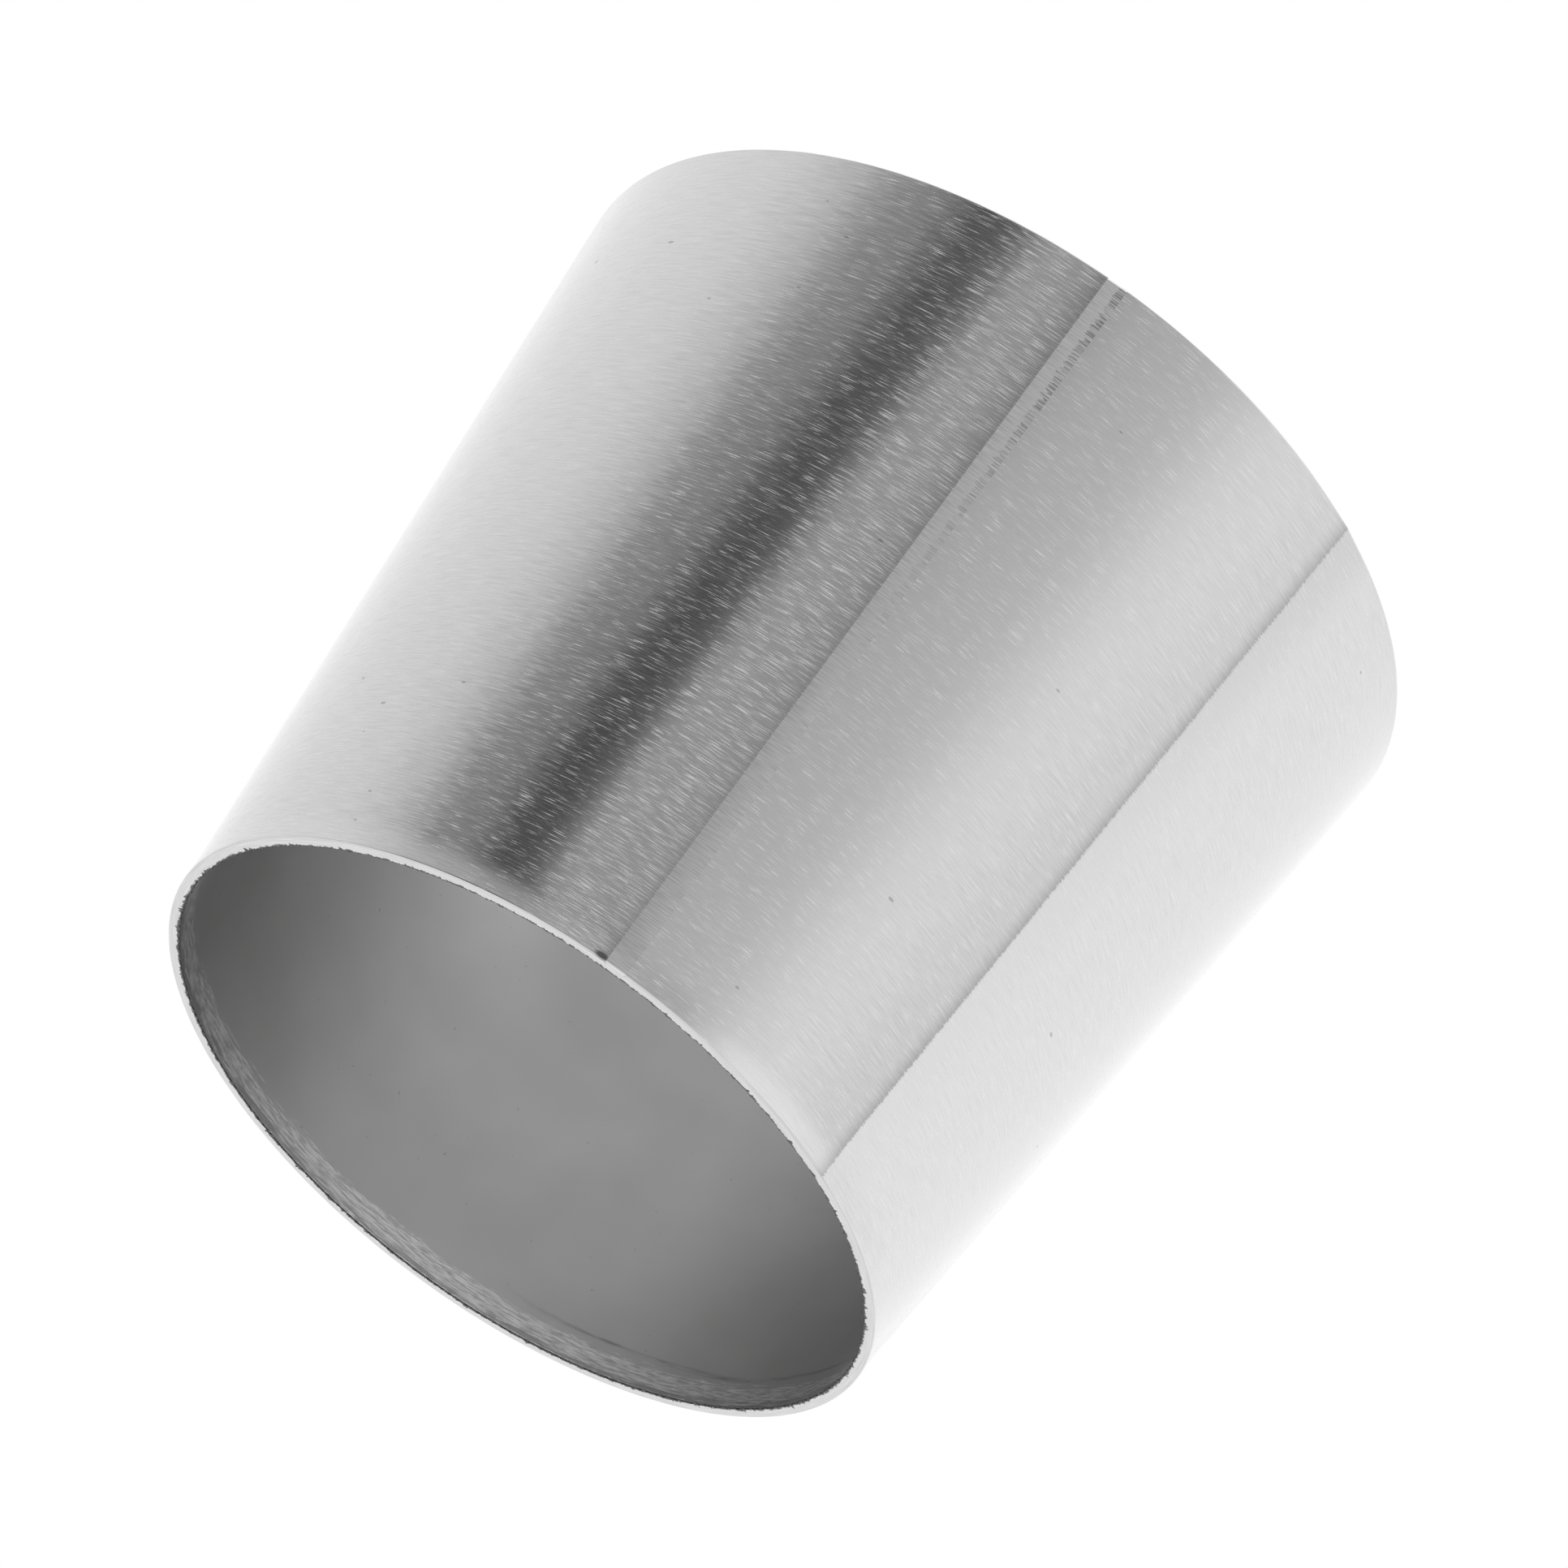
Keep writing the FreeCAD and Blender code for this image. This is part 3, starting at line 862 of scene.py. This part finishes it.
charted = add(weld_tree, "GeometryNodeStoreNamedAttribute",
              {"data_type": "FLOAT2", "domain": "CORNER"},
              {"Geometry": swept.outputs[0], "Name": "UVMap", "Value": spread.outputs[0]})
in_bore = add(weld_tree, "ShaderNodeMath", {"operation": "GREATER_THAN"}, {
    0: over_root.outputs[0], 1: -TOUCH})
facing = add(weld_tree, "GeometryNodeInputNormal")
facing_axes = add(weld_tree, "ShaderNodeSeparateXYZ", {}, {0: facing.outputs[0]})
facing_skin = add(weld_tree, "ShaderNodeMath", {"operation": "ABSOLUTE"}, {
    0: facing_axes.outputs["Y"]})
rounded = add(weld_tree, "ShaderNodeMath", {"operation": "GREATER_THAN"}, {
    0: facing_skin.outputs[0], 1: 0.35})
marked = add(weld_tree, "GeometryNodeStoreNamedAttribute",
             {"data_type": "BOOLEAN", "domain": "FACE"},
             {"Geometry": charted.outputs[0], "Name": "off the joint", "Value": rounded.outputs[0]})
not_joint = add(weld_tree, "GeometryNodeInputNamedAttribute", {"data_type": "BOOLEAN"}, {
    "Name": "off the joint"})
face = add(weld_tree, "GeometryNodeSetMaterial", {}, {
    "Geometry": marked.outputs[0], "Material": dressed})
root = add(weld_tree, "GeometryNodeSetMaterial", {}, {
    "Geometry": face.outputs[0], "Selection": in_bore.outputs[0], "Material": as_welded})
facing_end = add(weld_tree, "ShaderNodeMath", {"operation": "ABSOLUTE"}, {
    0: facing_axes.outputs["X"]})
on_end = add(weld_tree, "ShaderNodeMath", {"operation": "GREATER_THAN"}, {
    0: facing_end.outputs[0], 1: 0.9})
ends = add(weld_tree, "GeometryNodeSetMaterial", {}, {
    "Geometry": root.outputs[0], "Selection": on_end.outputs[0], "Material": faced})
moved = add(weld_tree, "GeometryNodeSetPosition", {}, {
    "Geometry": ends.outputs[0], "Position": laid.outputs[0]})
outward = add(weld_tree, "GeometryNodeFlipFaces", {}, {"Mesh": moved.outputs[0]})
plain = add(weld_tree, "GeometryNodeRealizeInstances", {}, {"Geometry": outward.outputs[0]})
smooth = add(weld_tree, "GeometryNodeSetShadeSmooth", {}, {
    "Geometry": plain.outputs[0], "Shade Smooth": not_joint.outputs[0]})
weld_tree.links.new(smooth.outputs[0], result.inputs[0])

weld = closed_outline("lengthwise_weld", fusion)
make_solid(weld, weld_tree, cone_sizes | {
    "Stations": STATIONS,
    "Wall": wall,
    "Length": length,
    "Root Half": weld_root_half,
    "Edge Ease": EDGE_EASE,
    "Ripple Pitch": RIPPLE_PITCH,
    "Ripple Depth": RIPPLE_DEPTH,
})
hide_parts("seam_weld")
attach(weld, "root")


# ---------------------------------------------------------------------------------------------
# The studio. The reducer stands on its large end on a lit white table, inside a round tent of
# white cloth. Dark panels hung in the tent draw the long bands on the brushed metal.

TABLE_SIZE = 8.0
table_mesh = bpy.data.meshes.new("light_table")
corner = TABLE_SIZE / 2
table_mesh.from_pydata(
    [(-corner, -corner, 0), (corner, -corner, 0), (corner, corner, 0), (-corner, corner, 0)],
    [],
    [(0, 1, 2, 3)],
)
table = bpy.data.objects.new("light_table", table_mesh)
bpy.context.scene.collection.objects.link(table)
table.location.z = low.z - 0.02 * MM
table.visible_glossy = False
table.visible_diffuse = False
lit_acrylic = bpy.data.materials.new("lit_white_acrylic")
lit_acrylic.use_nodes = True
tree = lit_acrylic.node_tree
tree.nodes.clear()
glow = add(tree, "ShaderNodeEmission", {}, {"Color": linear("#FFFFFF"), "Strength": 1.0})
add(tree, "ShaderNodeOutputMaterial", {}, {"Surface": glow.outputs[0]})
table_mesh.materials.append(lit_acrylic)

# The tent's panels, as (compass direction in degrees from +X towards +Y, brightness). They hang at
# a lean. A lower ring of panels, hung plumb, is what the bore's far wall mirrors.
TENT_LEAN = 0.4
TENT = [
    (-160, 1.25),
    (-88, 1.2),
    (-78, 1.15),
    (-72, 0.87),
    (-50, 1.02),
    (-38, 0.97),
    (-20, 0.72),
    (0, 0.6),
    (6, 0.58),
    (10, 0.38),
    (29, 0.46),
    (34, 0.05),
    (46, 0.03),
    (54, 0.26),
    (66, 0.3),
    (78, 0.68),
    (96, 0.9),
    (135, 1.03),
    (160, 1.25),
]
LOW_TENT = [
    (-180, 1.21),
    (-125, 1.16),
    (-92, 1.08),
    (-70, 1.25),
    (-42, 1.2),
    (-22, 0.5),
    (30, 0.5),
    (62, 0.66),
    (92, 0.98),
    (150, 1.09),
    (179, 1.21),
]


def panel_ring(tree, share, panels):
    """The brightness that these panels give at a share of a turn, from -180 to 180 degrees."""
    ring = add(tree, "ShaderNodeValToRGB", {}, {"Fac": share})
    while len(ring.color_ramp.elements) < len(panels):
        ring.color_ramp.elements.new(0.5)
    for element, (direction, brightness) in zip(ring.color_ramp.elements, panels):
        element.position = (direction + 180) / 360
        element.color = (brightness, brightness, brightness, 1)
    return ring.outputs[0]


sky = bpy.data.worlds.new("light_tent")
bpy.context.scene.world = sky
sky.use_nodes = True
tree = sky.node_tree
tree.nodes.clear()
towards = add(tree, "ShaderNodeTexCoord")
ways = add(tree, "ShaderNodeSeparateXYZ", {}, {0: towards.outputs["Generated"]})
compass = add(tree, "ShaderNodeMath", {"operation": "ARCTAN2"}, {
    0: ways.outputs["Y"], 1: ways.outputs["X"]})
leaning = add(tree, "ShaderNodeMath", {"operation": "MULTIPLY_ADD"}, {
    0: ways.outputs["Z"], 1: -TENT_LEAN, 2: compass.outputs[0]})
turn_share = add(tree, "ShaderNodeMapRange", {"clamp": False}, {
    "Value": leaning.outputs[0], "From Min": -pi, "From Max": pi})

# How high a direction points, from -1 to 1, settles which part it meets: the rings, the lower
# ring, the tent's top or the floor below the table's edge.
level_share = add(tree, "ShaderNodeMapRange", {"clamp": False}, {
    "Value": compass.outputs[0], "From Min": -pi, "From Max": pi})
lowered = add(tree, "ShaderNodeMapRange", {"interpolation_type": "SMOOTHSTEP"}, {
    "Value": ways.outputs["Z"], "From Min": -0.30, "From Max": -0.42})
around = add(tree, "ShaderNodeMix", {"data_type": "RGBA"}, {
    "Factor": lowered.outputs[0],
    "A": panel_ring(tree, turn_share.outputs[0], TENT),
    "B": panel_ring(tree, level_share.outputs[0], LOW_TENT)})
ROOF = (1.05, 1.05, 1.05, 1)
GROUND = (1.35, 1.35, 1.35, 1)
overhead = add(tree, "ShaderNodeMapRange", {"interpolation_type": "SMOOTHSTEP"}, {
    "Value": ways.outputs["Z"], "From Min": 0.12, "From Max": 0.5})
with_top = add(tree, "ShaderNodeMix", {"data_type": "RGBA"}, {
    "Factor": overhead.outputs[0], "A": around.outputs["Result"], "B": ROOF})
underneath = add(tree, "ShaderNodeMapRange", {"interpolation_type": "SMOOTHSTEP"}, {
    "Value": ways.outputs["Z"], "From Min": -0.55, "From Max": -0.75})
with_floor = add(tree, "ShaderNodeMix", {"data_type": "RGBA"}, {
    "Factor": underneath.outputs[0], "A": with_top.outputs["Result"], "B": GROUND})
seen = add(tree, "ShaderNodeLightPath")
backdrop = add(tree, "ShaderNodeMix", {"data_type": "RGBA"}, {
    "Factor": seen.outputs["Is Camera Ray"],
    "A": with_floor.outputs["Result"],
    "B": (1, 1, 1, 1)})
cloth = add(tree, "ShaderNodeBackground", {}, {"Color": backdrop.outputs["Result"]})
add(tree, "ShaderNodeOutputWorld", {}, {"Surface": cloth.outputs[0]})
bpy.context.scene.view_settings.view_transform = "Standard"

# A long lens looks down on the small end from the weld's side, rolled well over.
CAMERA_BEARING = 87.5
CAMERA_HEIGHT = 29.0
CAMERA_ROLL = 143.3
CAMERA_DISTANCE = 617 * MM
CAMERA_AIM = Vector((-1.4, -0.6, 30.1)) * MM
camera_data = bpy.data.cameras.new("camera")
camera_data.lens = 181.5
camera_data.sensor_width = 36
camera = bpy.data.objects.new("camera", camera_data)
bpy.context.scene.collection.objects.link(camera)
bearing = radians(CAMERA_BEARING)
rise = radians(CAMERA_HEIGHT)
back = Vector((sin(bearing) * cos(rise), -cos(bearing) * cos(rise), sin(rise)))
upright = back.to_track_quat("Z", "Y").to_matrix().to_4x4()
rolled_over = upright @ Matrix.Rotation(radians(-CAMERA_ROLL), 4, "Z")
camera.matrix_world = Matrix.Translation(CAMERA_AIM + back * CAMERA_DISTANCE) @ rolled_over
bpy.context.scene.camera = camera
